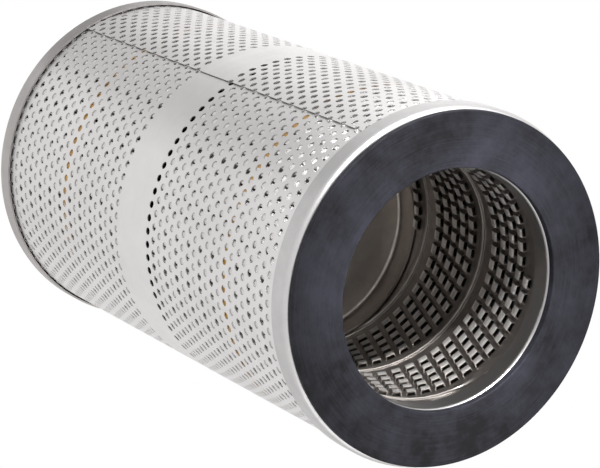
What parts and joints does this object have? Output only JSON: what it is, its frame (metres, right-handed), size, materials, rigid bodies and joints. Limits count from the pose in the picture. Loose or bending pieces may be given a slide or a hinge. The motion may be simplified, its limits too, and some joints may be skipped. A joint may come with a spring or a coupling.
{
  "type": "pleated hydraulic filter element",
  "caption": "Tall cylindrical pleated filter element with perforated wrap, open end caps, face gasket and pierced centre tube.",
  "frame": {"origin": "centre of the far end cap's face, on which the element stands", "axes": "+Z along the axis to the near end with the face gasket, +X through the wrap's lap seam"},
  "size_m": [0.15, 0.15, 0.2664],
  "materials": {
    "zinc_steel": "satin zinc-plated sheet",
    "cap_steel": "satin stamped sheet",
    "gasket_rubber": "flat moulded rubber, slight sheen",
    "core_steel": "bare pierced strip, oily grey-brown",
    "divider_steel": "bare satin sheet",
    "spool_steel": "bare sheet",
    "glass_media": "pleated glass-fibre mat",
    "potting": "cured adhesive",
    "glue": "amber hot-melt glue"
  },
  "bodies": {
    "root": {"near_end_cap": "cap_steel", "far_end_cap": "cap_steel", "face_gasket": "gasket_rubber", "outer_wrap": "zinc_steel", "center_tube": "core_steel", "divider_cup": "divider_steel", "pack_spool": "spool_steel", "near_media_pack": "glass_media", "far_media_pack": "glass_media", "near_glue_bead": "glue", "far_glue_bead": "glue", "near_end_potting": "potting", "far_end_potting": "potting", "near_joint_potting": "potting", "far_joint_potting": "potting"}
  },
  "joints": []
}
